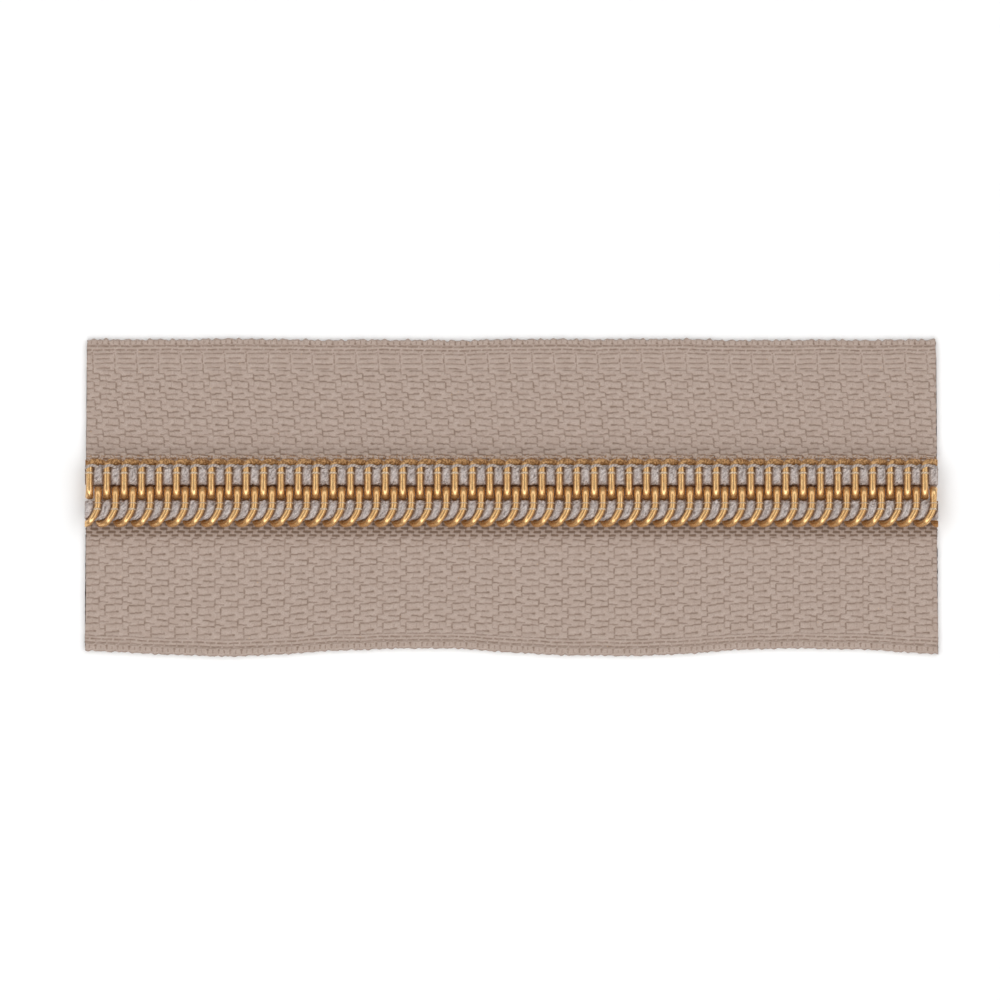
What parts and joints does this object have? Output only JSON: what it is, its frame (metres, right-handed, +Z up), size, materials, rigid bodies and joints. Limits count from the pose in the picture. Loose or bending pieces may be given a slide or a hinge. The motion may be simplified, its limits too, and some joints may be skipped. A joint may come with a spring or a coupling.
{
  "type": "coil zipper chain",
  "caption": "Length of closed coil zipper chain: two woven tapes joined by interlocked coils sewn over filler cords, with straight cut ends and no slider.",
  "frame": {"origin": "centre of the chain's underside: on the line where the teeth meet, halfway along, on the surface that the tapes lie on", "axes": "+X along the chain, +Y across it towards the left tape, +Z up out of the side that the coils are on"},
  "size_m": [0.0774, 0.0288, 0.0026],
  "materials": {
    "gold_coil": "metallised gold nylon filament, glossy, with fine lines along it",
    "taupe_tape": "woven polyester tape, matte, with a brick-like weave and a looped outer edge",
    "grey_cord": "soft spun filler yarn, matte and slightly hairy",
    "grey_thread": "fine twisted polyester sewing thread with a slight sheen"
  },
  "bodies": {
    "right_stringer": {"right_coil": "gold_coil", "right_filler_cord": "grey_cord", "right_tape_sewn_strip": "taupe_tape", "right_inner_needle_thread": "grey_thread", "right_outer_needle_thread": "grey_thread", "right_inner_looper_thread": "grey_thread", "right_outer_looper_thread": "grey_thread"},
    "right_flap": {"right_tape_flap": "taupe_tape"},
    "left_stringer": {"left_coil": "gold_coil", "left_filler_cord": "grey_cord", "left_tape_sewn_strip": "taupe_tape", "left_inner_needle_thread": "grey_thread", "left_outer_needle_thread": "grey_thread", "left_inner_looper_thread": "grey_thread", "left_outer_looper_thread": "grey_thread"},
    "left_flap": {"left_tape_flap": "taupe_tape"}
  },
  "joints": [
    {"name": "stringer_parting", "type": "slide", "parent": "right_stringer", "child": "left_stringer", "axis": [0, 1, 0], "range_m": [0, 0.012]},
    {"name": "left_tape_fold", "type": "hinge", "parent": "left_stringer", "child": "left_flap", "pos_m": [0, 0.0036, 0.00025], "axis": [1, 0, 0], "range_deg": [-100, 90], "stiffness_Nm_per_rad": 0.0005},
    {"name": "right_tape_fold", "type": "hinge", "parent": "right_stringer", "child": "right_flap", "pos_m": [0, -0.0036, 0.00025], "axis": [-1, 0, 0], "range_deg": [-100, 90], "stiffness_Nm_per_rad": 0.0005}
  ]
}
